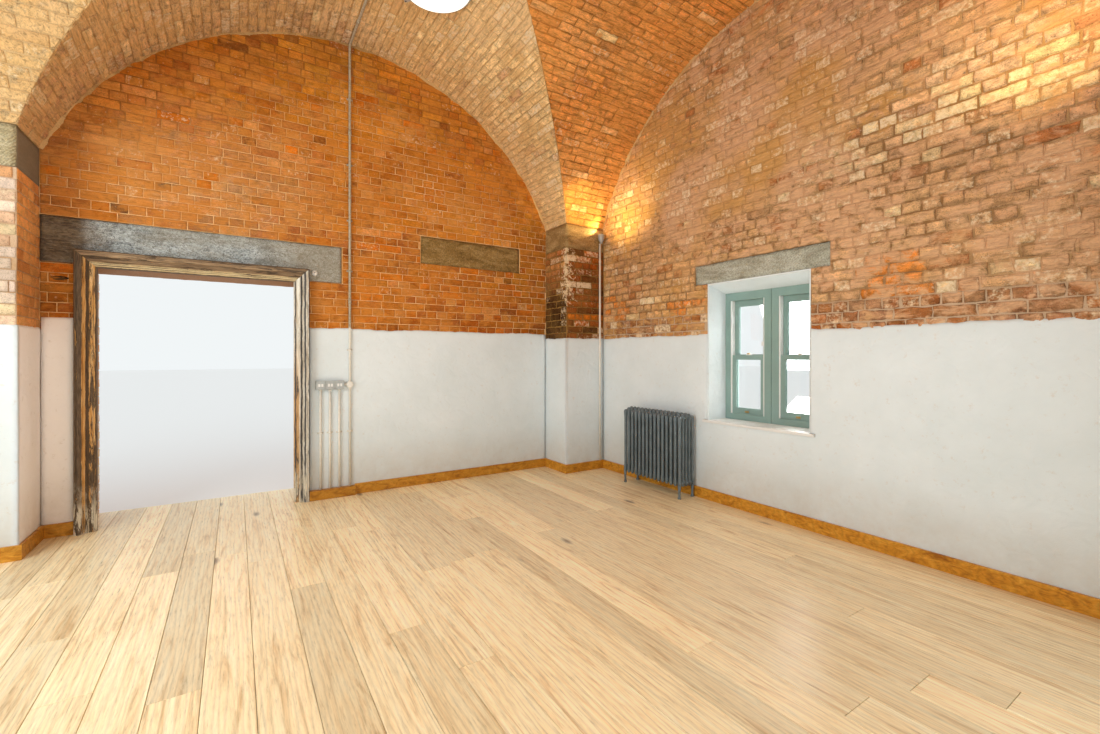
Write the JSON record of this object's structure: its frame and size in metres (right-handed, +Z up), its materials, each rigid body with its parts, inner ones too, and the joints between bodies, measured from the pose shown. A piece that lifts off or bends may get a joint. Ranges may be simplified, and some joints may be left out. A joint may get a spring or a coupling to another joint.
{
  "type": "brick groin-vaulted room bay of an oast house",
  "caption": "Square bay of a brick groin vault on corner piers, with a cased doorway in one wall, a sash window in the next and two open arches.",
  "frame": {"origin": "centre of the bay's square plan, at the ground under its piers, walls and floor", "axes": "+Z up, +Y towards the wall with the doorway, +X towards the wall with the window"},
  "size_m": [6.5, 6.5, 4.725],
  "materials": {
    "brick": "orange-red stock bricks with pale lime joints",
    "vault_brick": "dusty soffit bricks with lime smears",
    "stone": "finely tooled weathered stone",
    "plaster": "trowelled off-white lime plaster",
    "old_timber": "reclaimed moulded timber, dark finish worn through",
    "oak": "oiled oak boards",
    "white_paint": "white satin paint on wood",
    "sage_paint": "sage green satin paint",
    "glass": "clear window glass",
    "iron": "dark grey satin paint on cast iron",
    "steel": "galvanised and grey-painted steel",
    "lamp_glass": "frosted lamp glass"
  },
  "bodies": {
    "root": {"floor": "oak", "pier_north_west": "brick", "pier_north_east": "brick", "pier_south_west": "brick", "pier_south_east": "brick", "impost_north_west": "stone", "impost_north_east": "stone", "impost_south_west": "stone", "impost_south_east": "stone", "haunch_north_west": "brick", "haunch_north_east": "brick", "haunch_south_west": "brick", "haunch_south_east": "brick", "vault_north": "vault_brick", "vault_east": "vault_brick", "vault_south": "vault_brick", "vault_west": "vault_brick", "north_wall_west_side": "brick", "north_wall_east_side": "brick", "north_wall_arch": "brick", "door_lintel": "stone", "blind_lintel": "stone", "door_jamb_west": "old_timber", "door_jamb_east": "old_timber", "door_head": "old_timber", "east_wall_north_side": "brick", "east_wall_south_side": "brick", "east_wall_below_window": "brick", "east_wall_arch": "brick", "window_lintel": "stone", "window_sill": "stone", "window_board": "white_paint", "window_soffit": "plaster", "window_reveals": "plaster", "window_frames": "sage_paint", "upper_sashes": "sage_paint", "lower_sashes": "sage_paint", "window_glass": "glass", "north_wall_plaster": "plaster", "east_wall_plaster": "plaster", "pier_plaster": "plaster", "skirting_boards": "oak", "conduit_boxing": "oak", "radiator": "iron", "switch_boxes": "steel", "conduits": "steel", "corner_conduits": "steel", "spotlights": "steel", "vault_lamp": "steel", "vault_lamp_glass": "lamp_glass"}
  },
  "joints": []
}
